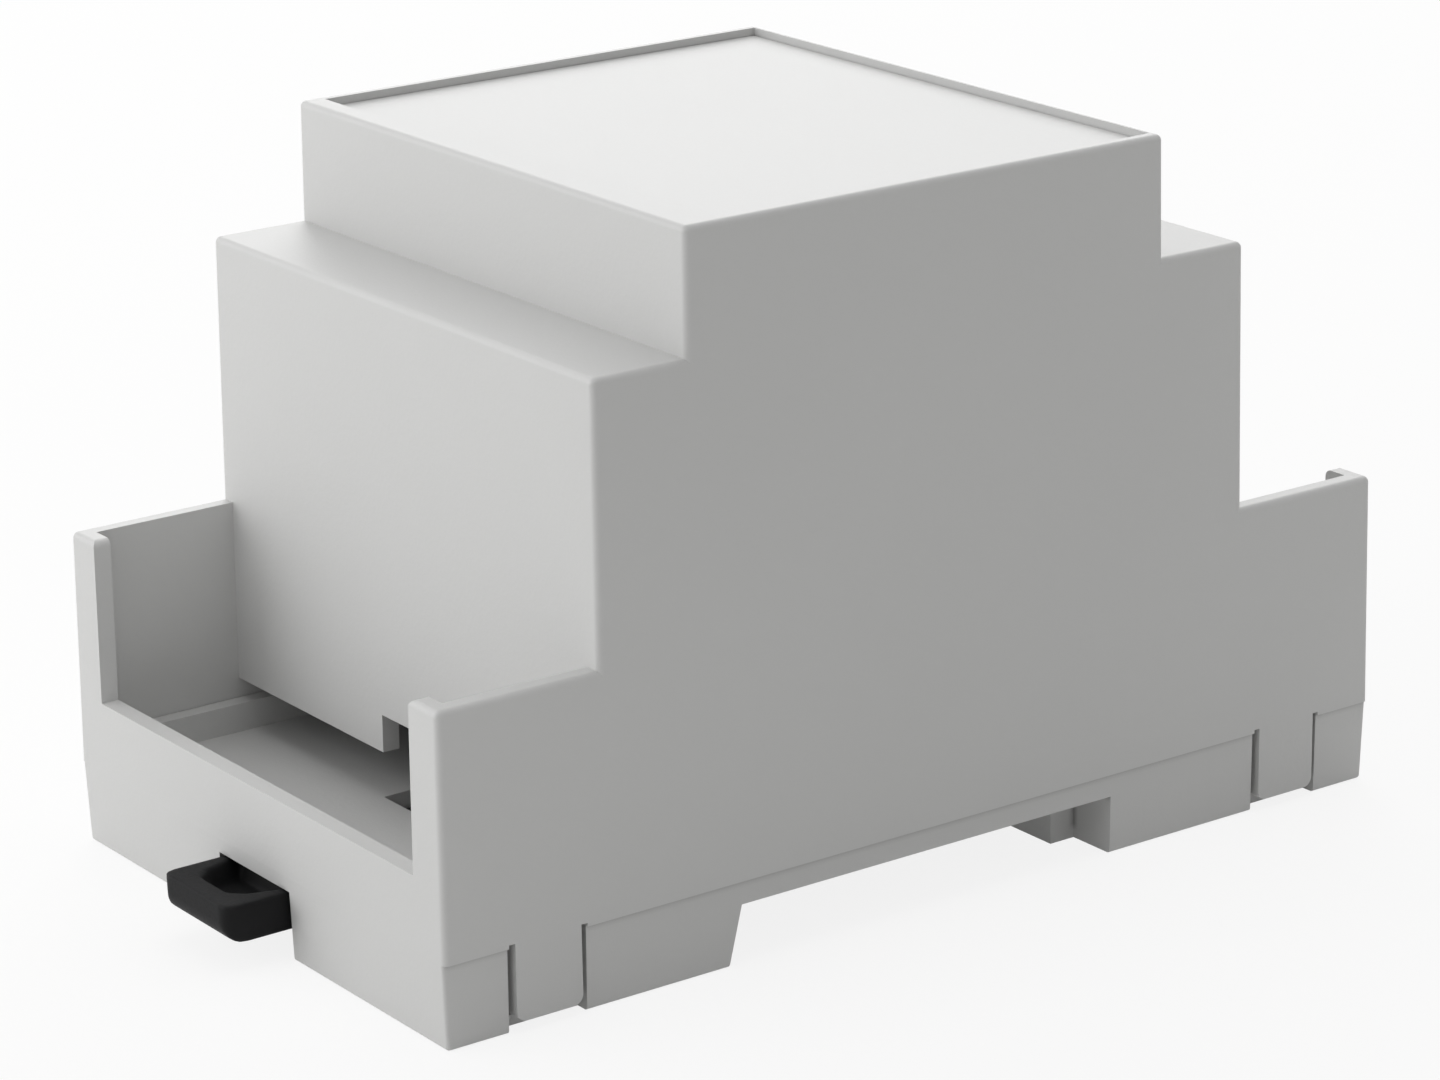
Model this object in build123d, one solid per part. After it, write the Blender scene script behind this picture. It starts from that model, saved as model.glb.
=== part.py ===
"""Empty three-module housing for a 35 mm mounting rail, moulded in four pieces.

The origin is the middle of the plane that rests on the rail. X runs along the rail,
Y runs across it from the sliding latch at -Y to the fixed hooks at +Y, and Z points
from the rail to the front panel. All sizes are in millimetres.
"""
import os
from math import radians, tan

from build123d import *

# Outer sizes of the case: width and length at the seam, the rest at the top of each step
width = 53.9
length = 90.2
body_length = 62.0
front_length = 45.0

# Heights above the feet, and the rise of the front above the shoulder
front_rise = 9.8
shoulder_height = 48.0
bay_height = 26.15
seam_height = 6.8
seat_height = 4.85

# Cover
wall = 1.5
draft = 0.5
edge_round = 0.5
post_width = 3.9
post_round = 0.6
end_cut_height = 12.7
inner_wall_bottom = 11.15
wire_notch_width = 6.6
wire_notch_height = 14.25
tongue_start = 6.1
tongue_width = 5.8
tongue_bottom = 0.85
tongue_round = 0.8
tongue_gap = 0.55
tongue_relief = 0.3
barb_depth = 0.5
barb_rise = 1.6
barb_bottom = 0.9
guide_rib = 1.0
guide_slot = 1.8
guide_depth = 1.2
guide_bottom = 14.0
guide_top_gap = 4.0

# Front panel and the rim that frames it
rim_side = 1.0
rim_latch_end = 1.9
rim_hook_end = 0.6
panel_recess = 0.65
panel_thickness = 1.6
panel_corner = 0.4
ledge_width = 1.4
ledge_thickness = 1.5
hook_leg = 1.2
hook_leg_width = 6.0
hook_leg_spread = 28.0
hook_barb = 0.5
hook_tip = 1.4

# Base
side_step = 0.25
side_lean = 0.1
end_lean = 0.25
base_round = 0.3
skirt = 2.3
lip_thickness = 1.4
lip_height = 9.5
floor_height = 7.1
pocket_height = 5.65
foot_wall = 1.5
rib = 1.2
foot_slant = 1.2
boss_radius = 2.6
boss_hole_radius = 1.1
boss_height = 3.0
boss_hole_depth = 4.0
boss_spread_x = 36.0
boss_spread_y = 22.0
rear_rib_spread = 20.0

# Rail, its fixed hooks and the room to tilt the case onto it
rail_width = 35.0
rail_edge_thickness = 1.0
hook_clearance = 0.2
tilt_clearance = 1.0
rail_slot_clearance = 0.25
hook_reach = 2.4
hook_width = 12.0
hook_inset = 4.8
hook_chamfer = 0.6

# Latch
latch_width = 9.6
latch_thickness = 3.0
latch_bottom = 2.5
latch_reach = 5.3
latch_overlap = 1.3
latch_travel = 2.8
latch_nose_bottom = 1.2
latch_nose_clearance = 0.15
latch_round = 0.9
latch_side_clearance = 0.4
latch_stop_gap = 0.3
pocket_depth = 1.7
pocket_front_margin = 1.8
pocket_front_width = 3.8
pocket_middle_width = 6.0
pocket_middle_step = 1.1
pocket_back_width = 8.4
pocket_into_case = 1.4
pocket_taper = 22.0
strap_start = 14.35
strap_length = 2.9
strap_thickness = 1.9
strap_window_width = 8.2
arm_thickness = 1.1
arm_reach = 7.0
arm_height = 2.2
arm_root = 2.2

# Clearances between the moulded pieces
fit = 0.1
slide_fit = 0.15

# How far a cut runs past the face it opens, and how near counts as the same place
past = 1.0
same_place = 0.01

# Planes worked out from the sizes above
half_width = width / 2
half_length = length / 2
half_body = body_length / 2
half_front = front_length / 2
feet = -seat_height
shoulder = feet + shoulder_height
top = shoulder + front_rise
bay_top = feet + bay_height
seam = feet + seam_height
floor = feet + floor_height
pocket_roof = feet + pocket_height
inner_half_width = half_width - wall
end_inner = half_length - wall
hook_wall = rail_width / 2 + hook_clearance
latch_wall = -(rail_width / 2 + tilt_clearance)
latch_wall_inner = latch_wall - foot_slant - foot_wall
body_at_seam = half_body + (bay_top - seam) * tan(radians(draft))
front_at_seam = half_front + (top - seam) * tan(radians(draft))
half_top = half_width - (top - seam) * tan(radians(draft))
panel_half = half_front - (rim_latch_end + rim_hook_end) / 2
panel_middle = (rim_latch_end - rim_hook_end) / 2
panel_top = top - panel_recess
ledge_top = panel_top - panel_thickness
ledge_bottom = ledge_top - ledge_thickness
rail_slot_bottom = -(rail_edge_thickness + rail_slot_clearance)
channel_half = latch_width / 2 + latch_side_clearance
strap_near = -half_length + strap_start
strap_far = strap_near + strap_length
tongue_middle = half_length - tongue_start - tongue_width / 2


def block(x, y, z):
    """Box between two limits along each axis."""
    size = [high - low for low, high in (x, y, z)]
    middle = [(low + high) / 2 for low, high in (x, y, z)]
    return Pos(*middle) * Box(*size)


def both(half):
    """Limits that lie the same distance each side of zero."""
    return (-half, half)


def side_prism(points, half):
    """Outline in Y and Z, carried along X by half to each side of the middle."""
    return extrude(Plane.YZ * make_face(Polyline(*points, close=True)), half, both=True)


def leaning_block(half_x, half_y, low, high):
    """Block whose four sides lean in by the draft, with its half sizes given at the seam."""
    spread = (low - seam) * tan(radians(draft))
    face = Pos(0, 0, low) * Rectangle(2 * (half_x - spread), 2 * (half_y - spread))
    return extrude(face, high - low, taper=draft)


def is_inner_corner(edge):
    """True for the lines along X where a step meets the wall above it."""
    middle = edge.center()
    front_foot = front_at_seam - (shoulder - seam) * tan(radians(draft))
    corners = [(half_body, bay_top), (front_foot, shoulder)]
    return any(
        abs(abs(middle.Y) - y) < same_place and abs(middle.Z - z) < same_place for y, z in corners
    )


def cover_outside():
    """Solid cover with its outer edges rounded, apart from the seam."""
    solid = leaning_block(half_width, half_length, seam, bay_top)
    solid += leaning_block(half_width, body_at_seam, seam, shoulder)
    solid += leaning_block(half_width, front_at_seam, shoulder, top)
    above_seam = [e for e in solid.edges() if e.center().Z > seam + same_place]
    sharp = [e for e in above_seam if not is_inner_corner(e)]
    return fillet(sharp, edge_round)


def end_cut():
    """Cut through an end wall, whose upper corners leave round tops on the posts."""
    half = half_width - post_width
    low = feet + end_cut_height
    arc_height = bay_top - post_round
    cut = Pos(0, (low + top) / 2) * Rectangle(2 * half, top - low)
    cut += Pos(0, (arc_height + top) / 2) * Rectangle(2 * (half + post_round), top - arc_height)
    for side in (-1, 1):
        cut -= Pos(side * (half + post_round), arc_height) * Circle(post_round)
    return Pos(0, half_length + past, 0) * extrude(Plane.XZ * cut, wall + 2 * past)


def terminal_bays():
    """Spaces over both ends of the base, open at the top and through the end walls."""
    inside = leaning_block(inner_half_width, end_inner, seam - past, bay_top + past)
    body = leaning_block(half_width, body_at_seam, seam - past, bay_top + 2 * past)
    return inside - body + at_both_ends(end_cut())


def panel_room():
    """Recess for the panel, with the opening that its ledge leaves."""
    opening = block(
        both(half_top - rim_side - ledge_width),
        both(panel_half - ledge_width),
        (ledge_bottom - past, ledge_top + past),
    )
    return opening + block(both(half_top - rim_side), both(panel_half), (ledge_top, top + past))


def cover_inside():
    """Space inside the cover, from the seam up to the opening under the panel."""
    bottom = seam - past
    body = leaning_block(inner_half_width, body_at_seam - wall, bottom, shoulder - wall)
    front = leaning_block(inner_half_width, front_at_seam - wall, bottom, ledge_bottom)
    under_walls = leaning_block(inner_half_width, end_inner, bottom, feet + inner_wall_bottom)
    notch = block(
        both(wire_notch_width / 2), both(half_body + past), (bottom, feet + wire_notch_height)
    )
    return body + front + under_walls + notch + Pos(0, panel_middle, 0) * panel_room()


def tongue():
    """Snap tongue on the +X side, with a barb that catches in the base."""
    bottom = feet + tongue_bottom
    blade = block((inner_half_width, half_width), both(tongue_width / 2), (bottom, seam))
    low_corners = blade.edges().filter_by(Axis.X).group_by(Axis.Z)[0]
    blade = fillet(low_corners, tongue_round)
    low = feet + barb_bottom
    barb = Plane.XZ * make_face(
        Polyline(
            (inner_half_width, low),
            (inner_half_width, low + barb_rise),
            (inner_half_width - barb_depth, low + barb_rise),
            close=True,
        )
    )
    return blade + extrude(barb, tongue_width / 2 - tongue_round, both=True)


def tongue_reliefs():
    """Two short slots that run from the seam into the cover beside a tongue."""
    side = tongue_width / 2 + tongue_gap / 2
    slot = block(
        (inner_half_width - past, half_width + past),
        both(tongue_gap / 2),
        (seam - past, seam + tongue_relief),
    )
    return Pos(0, side, 0) * slot + Pos(0, -side, 0) * slot


def board_guides():
    """Two ribs on the +X side wall that hold the edge of an upright board."""
    low = feet + guide_bottom
    high = ledge_bottom - guide_top_gap
    bars = block((0, half_width), both(guide_slot / 2 + guide_rib), (low, high))
    bars -= block((0, half_width), both(guide_slot / 2), (low, high))
    bars -= leaning_block(inner_half_width - guide_depth, half_length, low, high)
    return bars & leaning_block(inner_half_width + wall / 2, half_length, low, high)


def on_both_sides(piece):
    """A piece of the +X side, with its copy on the -X side."""
    return piece + mirror(piece, Plane.YZ)


def at_both_ends(piece):
    """A piece of the +Y end, with its copy at the -Y end."""
    return piece + mirror(piece, Plane.XZ)


def make_cover():
    """Stepped cover with its bays, panel opening, tongues and board guides."""
    cover = cover_outside() - cover_inside() - terminal_bays()
    corner = Pos(0, tongue_middle, 0)
    cover -= at_both_ends(on_both_sides(corner * tongue_reliefs()))
    cover += at_both_ends(on_both_sides(corner * tongue()))
    return cover + on_both_sides(board_guides())


def panel_hook():
    """Hook under the +Y edge of the panel, which catches below the ledge."""
    outer = panel_half - ledge_width - fit
    grip = ledge_bottom - fit
    points = [
        (outer - hook_leg, ledge_top),
        (outer, ledge_top),
        (outer, grip),
        (outer + hook_barb, grip),
        (outer, grip - hook_tip),
        (outer - hook_leg, grip - hook_tip),
    ]
    return side_prism(points, hook_leg_width / 2)


def make_front_panel():
    """Plain snap-in plate that lies a little below the rim."""
    plate = block(both(half_top - rim_side - fit), both(panel_half - fit), (ledge_top, panel_top))
    plate = fillet(plate.edges().filter_by(Axis.Z), panel_corner)
    hook = Pos(hook_leg_spread / 2, 0, 0) * panel_hook()
    return Pos(0, panel_middle, 0) * (plate + at_both_ends(on_both_sides(hook)))


def base_outside():
    """Tray block whose long sides stand back from the cover and whose ends lean in."""
    half = half_width - side_step
    at_seam = Pos(0, 0, seam) * Rectangle(2 * half, 2 * half_length)
    at_feet = Pos(0, 0, feet) * Rectangle(2 * (half - side_lean), 2 * (half_length - end_lean))
    tray = loft([at_feet, at_seam])
    return fillet([e for e in tray.edges() if e.center().Z < seam - same_place], base_round)


def base_lip():
    """Floor and the upright lip that stands just inside the cover's wall."""
    lip_x = inner_half_width - fit
    lip_y = end_inner - fit
    ring = block(both(lip_x), both(lip_y), (seam, feet + lip_height))
    return ring - block(
        both(lip_x - lip_thickness), both(lip_y - lip_thickness), (floor, feet + lip_height + past)
    )


def rail_channel():
    """Room for the rail, with the slanted side of the foot next to the latch."""
    points = [
        (latch_wall - foot_slant, feet),
        (latch_wall, 0),
        (hook_wall, 0),
        (hook_wall, feet),
    ]
    low = [(hook_wall, feet - past), (latch_wall - foot_slant, feet - past)]
    return side_prism(points + low, width)


def rail_hook():
    """Fixed hook on the +X half that holds the far edge of the rail from below."""
    points = [
        (hook_wall, feet),
        (hook_wall, rail_slot_bottom),
        (hook_wall - hook_reach + hook_chamfer, rail_slot_bottom),
        (hook_wall - hook_reach, rail_slot_bottom - hook_chamfer),
        (hook_wall - hook_reach, feet),
    ]
    middle = half_width - hook_inset - hook_width / 2
    return Pos(middle, 0, 0) * side_prism(points, hook_width / 2)


def hook_window():
    """Opening in the floor over a hook, which the mould needs."""
    low = half_width - hook_inset - hook_width
    return block((low, low + hook_width), (hook_wall - hook_reach, hook_wall), (-past, floor + past))


def under_pocket(near, far):
    """Hollow under one end of the base, inside the skirt."""
    half = half_width - side_step - skirt
    return block(both(half), (near, far), (feet - past, pocket_roof))


def latch_ways():
    """Ribs that guide the latch, with the cross rib that its arms push against."""
    outer = channel_half + rib
    ways = block(both(outer), (-end_inner, strap_far), (feet, pocket_roof))
    ways += block(
        both(half_width - side_step - skirt), (strap_far - rib, strap_far), (feet, pocket_roof)
    )
    return ways - block(both(channel_half), (-end_inner, strap_far), (feet, pocket_roof))


def latch_passage():
    """Way for the latch through the end wall and through the wall beside the rail."""
    through_end = block(
        both(channel_half), (-half_length - past, -end_inner), (feet - past, pocket_roof)
    )
    through_foot = block(both(channel_half), (latch_wall_inner, latch_wall), (feet - past, 0))
    return through_end + through_foot


def latch_strap():
    """Bridge that carries the latch from below."""
    high = feet + latch_bottom - slide_fit
    return block(both(channel_half), (strap_near, strap_far), (high - strap_thickness, high))


def strap_window():
    """Opening in the floor over the bridge, which the mould needs."""
    return block(
        both(strap_window_width / 2), (strap_near, strap_far), (pocket_roof - past, floor + past)
    )


def rear_ribs():
    """Two long ribs that stiffen the hollow behind the hooks."""
    middle = rear_rib_spread / 2
    near = hook_wall + foot_wall
    return on_both_sides(
        block((middle - rib / 2, middle + rib / 2), (near, end_inner), (feet, pocket_roof))
    )


def tongue_recess():
    """Room in the +X side of the base for a tongue and its barb."""
    half = tongue_width / 2 + tongue_gap
    face = inner_half_width - fit
    recess = block((face, half_width + past), both(half), (feet - past, seam))
    low = feet + tongue_bottom
    high = feet + barb_bottom + barb_rise + fit
    window = block((face - lip_thickness - past, face), both(tongue_width / 2), (low, high))
    return recess + window


def board_bosses(radius, low, high):
    """Four round posts on the floor at the corners of a board."""
    spots = GridLocations(boss_spread_x, boss_spread_y, 2, 2)
    return Part() + [
        Pos(0, 0, (low + high) / 2) * spot * Cylinder(radius, high - low) for spot in spots
    ]


def make_base():
    """Base with rail channel, hooks, latch ways, ribs, snap recesses and bosses."""
    base = base_outside() + base_lip()
    base -= under_pocket(-end_inner, latch_wall_inner)
    base -= under_pocket(hook_wall + foot_wall, end_inner)
    base += latch_ways() + rear_ribs()
    base -= rail_channel() + latch_passage() + strap_window()
    base += latch_strap() + on_both_sides(rail_hook())
    base -= on_both_sides(hook_window())
    corner = Pos(0, tongue_middle, 0)
    base -= at_both_ends(on_both_sides(corner * tongue_recess()))
    boss_top = floor + boss_height
    base += board_bosses(boss_radius, floor, boss_top)
    return base - board_bosses(boss_hole_radius, boss_top - boss_hole_depth, boss_top + past)


def latch_outline():
    """Side outline of the latch: pull tab, flat slide and the nose that holds the rail."""
    low = feet + latch_bottom
    high = low + latch_thickness
    nose_low = feet + latch_nose_bottom
    nose_high = -(rail_edge_thickness + latch_nose_clearance)
    tip = -rail_width / 2 + latch_overlap
    root = latch_wall_inner - latch_stop_gap
    return [
        (-half_length - latch_reach, low),
        (root - arm_root, low),
        (root - arm_root, nose_low),
        (tip - (nose_high - nose_low) / 2, nose_low),
        (tip, nose_low + (nose_high - nose_low) / 2),
        (tip, nose_high),
        (root, nose_high),
        (root, high),
        (-half_length - latch_reach, high),
    ]


def grip_pocket():
    """Tapered hollow in the top of the pull tab for the tip of a screwdriver."""
    front = -half_length - latch_reach + pocket_front_margin
    back = -half_length + pocket_into_case
    right = [
        (pocket_front_width / 2, front),
        (pocket_middle_width / 2, front + pocket_middle_step),
        (pocket_back_width / 2, back),
    ]
    outline = right + [(-x, y) for x, y in reversed(right)]
    face = Pos(0, 0, feet + latch_bottom + latch_thickness) * make_face(
        Polyline(*outline, close=True)
    )
    return extrude(face, -pocket_depth, taper=pocket_taper)


def spring_arm():
    """Arm on the +X side of the latch that turns towards the cross rib and bends against it."""
    line = latch_wall_inner - latch_stop_gap - arm_thickness / 2
    turn = line - (strap_far + latch_travel + latch_stop_gap)
    start = (latch_width / 2 - arm_thickness, line)
    corner = (latch_width / 2 + arm_reach - turn, line)
    path = Line(start, corner) + JernArc(corner, (1, 0), turn, -90)
    low = feet + latch_bottom
    return Pos(0, 0, low) * extrude(trace(path, arm_thickness), arm_height)


def make_latch():
    """Black slide with its pull tab, nose and two moulded spring arms."""
    latch = side_prism(latch_outline(), latch_width / 2)
    front = -half_length - latch_reach
    tab_edges = [e for e in latch.edges() if abs(e.center().Y - front) < same_place]
    top_line = max(tab_edges, key=lambda e: e.center().Z)
    latch = fillet([e for e in tab_edges if e is not top_line], latch_round)
    latch -= grip_pocket()
    return latch + on_both_sides(spring_arm())


def main():
    """Write each piece of the housing to its own file."""
    os.makedirs("parts", exist_ok=True)
    pieces = {
        "base": make_base(),
        "cover": make_cover(),
        "front_panel": make_front_panel(),
        "rail_latch": make_latch(),
    }
    for name, piece in pieces.items():
        piece.label = name
        export_step(piece, f"parts/{name}.step")
        print(name, "solids", len(piece.solids()), "volume", round(piece.volume, 1))


main()
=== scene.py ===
"""Studio view of an empty moulded housing for a 35 mm mounting rail.

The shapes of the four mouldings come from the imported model. This script gives them
their finishes, softens the edges of the latch, and adds the floor, the lamps and the
camera. Lengths are in metres, in the model's own frame: X along the rail, Y across it,
Z towards the front panel.
"""
from math import cos, pi, radians, sin

import bmesh
import bpy
import numpy as np
from mathutils import Matrix, Vector


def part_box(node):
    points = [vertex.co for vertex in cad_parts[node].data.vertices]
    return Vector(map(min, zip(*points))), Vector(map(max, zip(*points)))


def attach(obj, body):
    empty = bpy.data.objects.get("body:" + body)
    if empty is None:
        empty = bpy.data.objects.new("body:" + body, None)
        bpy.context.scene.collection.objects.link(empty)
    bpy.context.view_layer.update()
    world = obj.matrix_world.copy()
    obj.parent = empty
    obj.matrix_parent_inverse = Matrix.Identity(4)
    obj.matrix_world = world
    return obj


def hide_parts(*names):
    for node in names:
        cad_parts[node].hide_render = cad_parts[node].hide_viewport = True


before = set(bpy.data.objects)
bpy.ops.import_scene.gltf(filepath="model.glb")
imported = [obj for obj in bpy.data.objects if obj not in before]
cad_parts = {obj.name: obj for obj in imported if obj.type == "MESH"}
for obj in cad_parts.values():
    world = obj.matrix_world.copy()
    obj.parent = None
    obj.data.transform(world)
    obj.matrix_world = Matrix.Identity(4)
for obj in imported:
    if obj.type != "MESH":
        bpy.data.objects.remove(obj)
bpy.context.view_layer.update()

MM = 0.001
SAME_PLACE = 0.001 * MM

# Camera: where the photograph was taken from, worked out from the housing's straight edges
CAMERA_PLACE = (0.29433, -0.21184, 0.13611)
CAMERA_TURN = radians(54.364)
CAMERA_DIP = radians(18.008)
CAMERA_ROLL = radians(-0.963)
CAMERA_LENS = 118.68
SENSOR_WIDTH = 36.0

# Colours as they look on screen, with two near tones for each plastic
GREY_ABS = ("#CBCBCA", "#CFCFCE")
BLACK_ACETAL = ("#1A1A1B", "#222223")
FLOOR_WHITE = "#F2F2F1"
WHITE = "#FFFFFF"

# The sRGB curve: the end and slope of its straight start, then the offset and power of the rest
SRGB_START = 0.04045
SRGB_SLOPE = 12.92
SRGB_OFFSET = 0.055
SRGB_POWER = 2.4

# Grain of the plastics: real sizes of grit, craters and patches of tone, and its depths
SPARK_GRIT = 0.22 * MM
SPARK_CRATER = 0.5 * MM
TONE_CLOUD = 30 * MM
HOUSING_GRAIN_DEPTH = 0.03 * MM
SMOOTH_GRAIN_DEPTH = 0.02 * MM
GRAIN_STRENGTH = 0.25
GRIT_DETAIL = 1.0
CLOUD_DETAIL = 2.0

# Gloss of the plastics
ROUGHNESS_LOW = 0.48
ROUGHNESS_HIGH = 0.62
PLASTIC_IOR = 1.54
HOUSING_SHEEN = 0.5
LATCH_SHEEN = 0.08

# The joint between tray and cover: its height above the feet, and the reach of the painted shade
# (ambient occlusion darkening the tray's colour) in corners and under the joint
JOINT_HEIGHT = 6.8 * MM
PAINTED_SHADE_REACH = 0.6 * MM
SHADE_SAMPLES = 8

# Squares of the latch's redrawn surface, and the steps that round its edges to about 0.4 mm
LATCH_SQUARE = 0.2 * MM
LATCH_STEPS = 7
LATCH_STEP_SHARE = 0.5

# The pull tab's lower front edge: its underside's height above the feet and its arc in the
# solid, then the fuller and slightly lower arc of the real tab
TAB_UNDERSIDE = 2.5 * MM
TAB_ARC = 0.9 * MM
FULL_ARC = 1.7 * MM
FULL_ARC_DROP = 0.15 * MM

# Floor: a disc just under the feet, and the share of its own white where it is seen
FLOOR_RADIUS = 3.0
FLOOR_RINGS = 12
FLOOR_SPOKES = 64
FLOOR_DROP = 0.02 * MM
FLOOR_GLOW = 0.85

# Light: the world's level on the housing, then the soft boxes with each one's name, turn and
# height in degrees, distance and power
WORLD_LEVEL = 0.3
LAMP_WIDTH = 0.6
LAMP_TARGET = (0, 0, 0.02)
LAMPS = [
    ("latch_end", -10, 20, 0.5, 0.65),
    ("far_corner", -45, 5, 0.4, 1.45),
    ("overhead", 0, 90, 0.9, 1.8),
    ("hook_end", 180, 55, 0.9, 0.75),
    ("far_side", 234, 28, 0.9, 3.25),
    ("near_side", 90, 8, 0.9, 0.3),
]


def linear(colour):
    """sRGB hex as linear red, green, blue and an alpha of one."""
    parts = np.array([int(colour[i : i + 2], 16) for i in (1, 3, 5)]) / 255
    low = parts / SRGB_SLOPE
    high = ((parts + SRGB_OFFSET) / (1 + SRGB_OFFSET)) ** SRGB_POWER
    return (*np.where(parts <= SRGB_START, low, high).tolist(), 1.0)


def put(name, data):
    """New object of the scene with the given data."""
    thing = bpy.data.objects.new(name, data)
    bpy.context.scene.collection.objects.link(thing)
    return thing


def new_material(name):
    """Empty node material, with its tree."""
    material = bpy.data.materials.new(name)
    material.use_nodes = True
    material.node_tree.nodes.clear()
    return material, material.node_tree


def add(tree, kind, inputs=None, **settings):
    """One more node: its settings, then each input as a value or as the socket that feeds it."""
    node = tree.nodes.new(kind)
    for name, value in settings.items():
        setattr(node, name, value)
    for name, value in (inputs or {}).items():
        if isinstance(value, bpy.types.NodeSocket):
            tree.links.new(value, node.inputs[name])
        else:
            node.inputs[name].default_value = value
    return node


def maths(tree, operation, first, second):
    """Two values or sockets, brought together by one operation."""
    node = add(tree, "ShaderNodeMath", {0: first, 1: second}, operation=operation)
    return node.outputs["Value"]


def mapped(tree, value, limits):
    """A value brought from one range to another, each 0 to 1 where no limit is given."""
    return add(tree, "ShaderNodeMapRange", {"Value": value, **limits}).outputs["Result"]


def mixed_colour(tree, share, first, second):
    """Two colours, mixed by the share of the second."""
    inputs = {"Factor": share, "A": first, "B": second}
    return add(tree, "ShaderNodeMix", inputs, data_type="RGBA").outputs["Result"]


def mixed_shader(tree, share, first, second):
    """Two shaders, mixed by the share of the second."""
    return add(tree, "ShaderNodeMixShader", {0: share, 1: first, 2: second}).outputs["Shader"]


def in_view(tree):
    """One for rays from the camera and for reflected and refracted ones, else zero."""
    path = add(tree, "ShaderNodeLightPath").outputs
    either = maths(tree, "MAXIMUM", path["Is Glossy Ray"], path["Is Transmission Ray"])
    return maths(tree, "MAXIMUM", path["Is Camera Ray"], either)


def painted_joint_shade(tree, place, colour, joint_height):
    """The colour with painted shade: darkened by ambient occlusion in corners and close under a
    joint, but not where the feet meet the floor.
    """
    inputs = {"Color": colour, "Distance": PAINTED_SHADE_REACH}
    corner = add(tree, "ShaderNodeAmbientOcclusion", inputs, samples=SHADE_SAMPLES)
    height = add(tree, "ShaderNodeSeparateXYZ", {"Vector": place}).outputs["Z"]
    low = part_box("base")[0].z
    rise = {"From Min": low + PAINTED_SHADE_REACH, "From Max": low + 2 * PAINTED_SHADE_REACH}
    off_floor = mapped(tree, height, rise)
    under = maths(tree, "LESS_THAN", height, low + joint_height)
    share = maths(tree, "MULTIPLY", off_floor, under)
    return mixed_colour(tree, share, colour, corner.outputs["Color"])


def moulded_plastic(name, tones, grain_depth, sheen=HOUSING_SHEEN, joint_height=None):
    """An even matte tone with a fine sandy grain that softens the highlights."""
    material, tree = new_material(name)
    place = add(tree, "ShaderNodeTexCoord").outputs["Object"]
    patches = {"Vector": place, "Scale": 1 / TONE_CLOUD, "Detail": CLOUD_DETAIL}
    cloud = add(tree, "ShaderNodeTexNoise", patches).outputs["Fac"]
    colour = mixed_colour(tree, cloud, *map(linear, tones))
    if joint_height is not None:
        colour = painted_joint_shade(tree, place, colour, joint_height)
    grains = {"Vector": place, "Scale": 1 / SPARK_GRIT, "Detail": GRIT_DETAIL}
    grit = add(tree, "ShaderNodeTexNoise", grains).outputs["Fac"]
    pits = {"Vector": place, "Scale": 1 / SPARK_CRATER}
    crater = add(tree, "ShaderNodeTexVoronoi", pits).outputs["Distance"]
    relief = {
        "Height": maths(tree, "ADD", grit, crater),
        "Strength": GRAIN_STRENGTH,
        "Distance": grain_depth,
    }
    surface = {
        "Base Color": colour,
        "Roughness": mapped(tree, grit, {"To Min": ROUGHNESS_LOW, "To Max": ROUGHNESS_HIGH}),
        "IOR": PLASTIC_IOR,
        "Specular IOR Level": sheen,
        "Normal": add(tree, "ShaderNodeBump", relief).outputs["Normal"],
    }
    shader = add(tree, "ShaderNodeBsdfPrincipled", surface).outputs["BSDF"]
    add(tree, "ShaderNodeOutputMaterial", {"Surface": shader})
    return material


def fuller_edge(points):
    """The pull tab's lower front arc, y = y0 - r cos a and z = z0 - r sin a, grown to a larger r.

    Its centre moves so that the front face keeps its place.
    """
    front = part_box("rail_latch")[0].y
    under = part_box("base")[0].z + TAB_UNDERSIDE
    centre = np.array([front + TAB_ARC, under + TAB_ARC])
    new_centre = np.array([front + FULL_ARC, under - FULL_ARC_DROP + FULL_ARC])
    from_centre = points[:, 1:] - centre
    on_arc = (from_centre < SAME_PLACE).all(axis=1)
    points[on_arc, 1:] = new_centre + from_centre[on_arc] * FULL_ARC / TAB_ARC
    return points


def rounded_latch():
    """The latch's own solid, redrawn in fine squares and relaxed so that every edge is soft."""
    shape = bmesh.new()
    shape.from_mesh(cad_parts["rail_latch"].data)
    bmesh.ops.remove_doubles(shape, verts=shape.verts, dist=SAME_PLACE)
    mesh = bpy.data.meshes.new("rail_latch_moulding")
    shape.to_mesh(mesh)
    shape.free()
    points = np.empty(3 * len(mesh.vertices), dtype=np.float32)
    mesh.vertices.foreach_get("co", points)
    mesh.vertices.foreach_set("co", fuller_edge(points.reshape(-1, 3)).ravel())
    latch = put("rail_latch_moulding", mesh)
    squares = latch.modifiers.new("fine_squares", "REMESH")
    squares.mode = "VOXEL"
    squares.voxel_size = LATCH_SQUARE
    squares.use_smooth_shade = True
    relaxed = latch.modifiers.new("relaxed_edges", "SMOOTH")
    relaxed.factor = LATCH_STEP_SHARE
    relaxed.iterations = LATCH_STEPS
    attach(latch, "latch")
    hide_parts("rail_latch")
    return latch


def finish_pieces():
    """Give each moulding its finish."""
    housing = moulded_plastic("spark_eroded_grey_abs", GREY_ABS, HOUSING_GRAIN_DEPTH)
    # The tray's colour carries painted shade in its corners and under the joint
    tray = moulded_plastic(
        "spark_eroded_tray_abs_painted_shade", GREY_ABS, HOUSING_GRAIN_DEPTH, joint_height=JOINT_HEIGHT
    )
    panel = moulded_plastic("spark_eroded_panel_abs", GREY_ABS, SMOOTH_GRAIN_DEPTH)
    latch = moulded_plastic(
        "moulded_black_acetal", BLACK_ACETAL, SMOOTH_GRAIN_DEPTH, sheen=LATCH_SHEEN
    )
    for node, material in {"base": tray, "cover": housing, "front_panel": panel}.items():
        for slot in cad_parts[node].material_slots:
            slot.material = material
    rounded_latch().data.materials.append(latch)


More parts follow.
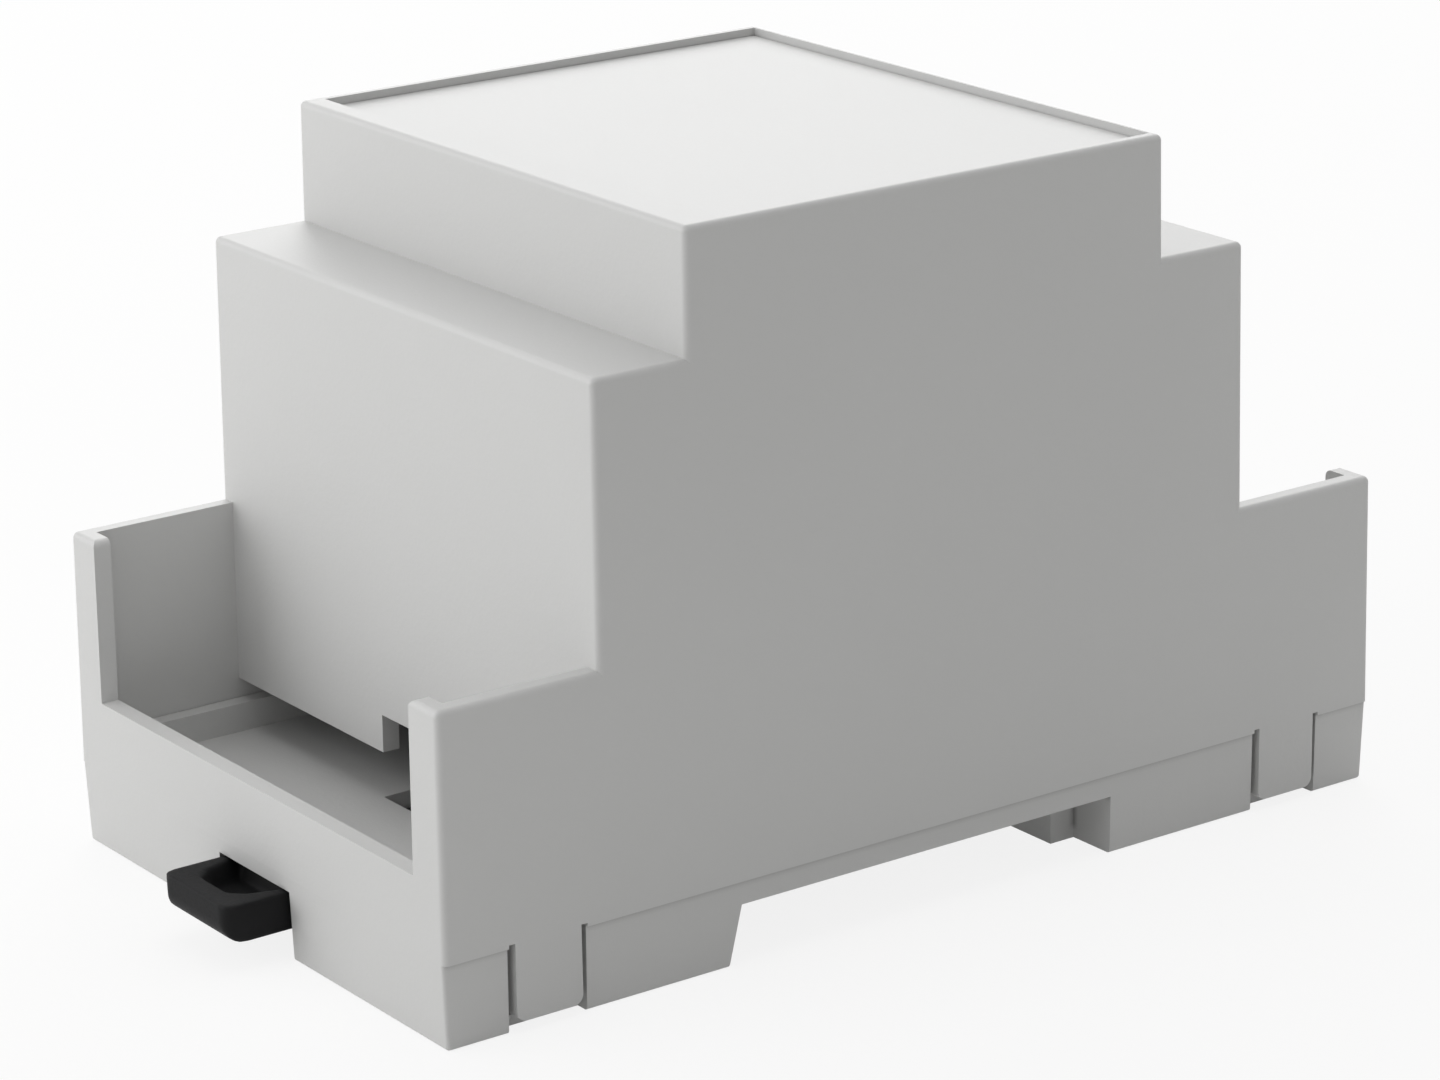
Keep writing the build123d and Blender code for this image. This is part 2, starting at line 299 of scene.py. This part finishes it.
def studio_floor():
    """Disc just under the feet: radius and angle give x = r cos a, y = r sin a."""
    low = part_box("base")[0].z - FLOOR_DROP
    radius = np.linspace(0, FLOOR_RADIUS, FLOOR_RINGS + 1)[1:]
    angle = np.linspace(0, 2 * pi, FLOOR_SPOKES, endpoint=False)
    r, a = np.meshgrid(radius, angle, indexing="ij")
    points = np.stack([r * np.cos(a), r * np.sin(a), np.full_like(r, low)], -1).reshape(-1, 3)
    points = np.vstack([points, [0, 0, low]])
    ring, spoke = np.meshgrid(np.arange(FLOOR_RINGS - 1), np.arange(FLOOR_SPOKES), indexing="ij")
    after = (spoke + 1) % FLOOR_SPOKES
    inner = ring * FLOOR_SPOKES
    outer = inner + FLOOR_SPOKES
    quads = np.stack([inner + spoke, outer + spoke, outer + after, inner + after], -1)
    hub = [(FLOOR_RINGS * FLOOR_SPOKES, s, (s + 1) % FLOOR_SPOKES) for s in range(FLOOR_SPOKES)]
    mesh = bpy.data.meshes.new("studio_floor")
    mesh.from_pydata(points.tolist(), [], quads.reshape(-1, 4).tolist() + hub)
    floor = put("studio_floor", mesh)
    return floor


def floor_paint():
    """White card whose own white is mixed in where it is seen, so that its shadows stay soft.

    Its underside is clear, so that the housing's own underside shows from below.
    """
    material, tree = new_material("matt_white_card")
    card = add(tree, "ShaderNodeBsdfDiffuse", {"Color": linear(FLOOR_WHITE)}).outputs["BSDF"]
    glow = add(tree, "ShaderNodeEmission", {"Color": linear(WHITE), "Strength": 1.0})
    share = maths(tree, "MULTIPLY", in_view(tree), FLOOR_GLOW)
    upper = mixed_shader(tree, share, card, glow.outputs["Emission"])
    clear = add(tree, "ShaderNodeBsdfTransparent").outputs["BSDF"]
    below = add(tree, "ShaderNodeNewGeometry").outputs["Backfacing"]
    surface = mixed_shader(tree, below, upper, clear)
    add(tree, "ShaderNodeOutputMaterial", {"Surface": surface})
    return material


def set_world():
    """Even light from all round, with plain white behind the housing."""
    world = bpy.data.worlds.new("studio")
    bpy.context.scene.world = world
    world.use_nodes = True
    tree = world.node_tree
    tree.nodes.clear()
    strength = mapped(tree, in_view(tree), {"To Min": WORLD_LEVEL, "To Max": 1.0})
    sky = add(tree, "ShaderNodeBackground", {"Color": linear(WHITE), "Strength": strength})
    add(tree, "ShaderNodeOutputWorld", {"Surface": sky.outputs["Background"]})


def lamp(name, turn, height, distance, power):
    """Square soft box that faces the housing, turned from -Y towards +X and raised by degrees."""
    turn, height = radians(turn), radians(height)
    light = bpy.data.lights.new(name, "AREA")
    light.size = LAMP_WIDTH
    light.energy = power
    out = Vector((sin(turn) * cos(height), -cos(turn) * cos(height), sin(height)))
    facing = out.to_track_quat("Z", "Y").to_matrix().to_4x4()
    place = Vector(LAMP_TARGET) + distance * out
    put(name, light).matrix_world = Matrix.Translation(place) @ facing


def set_camera():
    """Camera turned about Z, dipped below the horizon and rolled about its own axis."""
    view = bpy.data.cameras.new("camera")
    view.lens = CAMERA_LENS
    view.sensor_width = SENSOR_WIDTH
    camera = put("camera", view)
    turn = Matrix.Rotation(CAMERA_TURN, 4, "Z")
    dip = Matrix.Rotation(pi / 2 - CAMERA_DIP, 4, "X")
    roll = Matrix.Rotation(CAMERA_ROLL, 4, "Z")
    camera.matrix_world = Matrix.Translation(CAMERA_PLACE) @ turn @ dip @ roll
    bpy.context.scene.camera = camera


finish_pieces()
studio_floor().data.materials.append(floor_paint())
set_world()
for soft_box in LAMPS:
    lamp(*soft_box)
set_camera()
bpy.context.scene.view_settings.view_transform = "Standard"
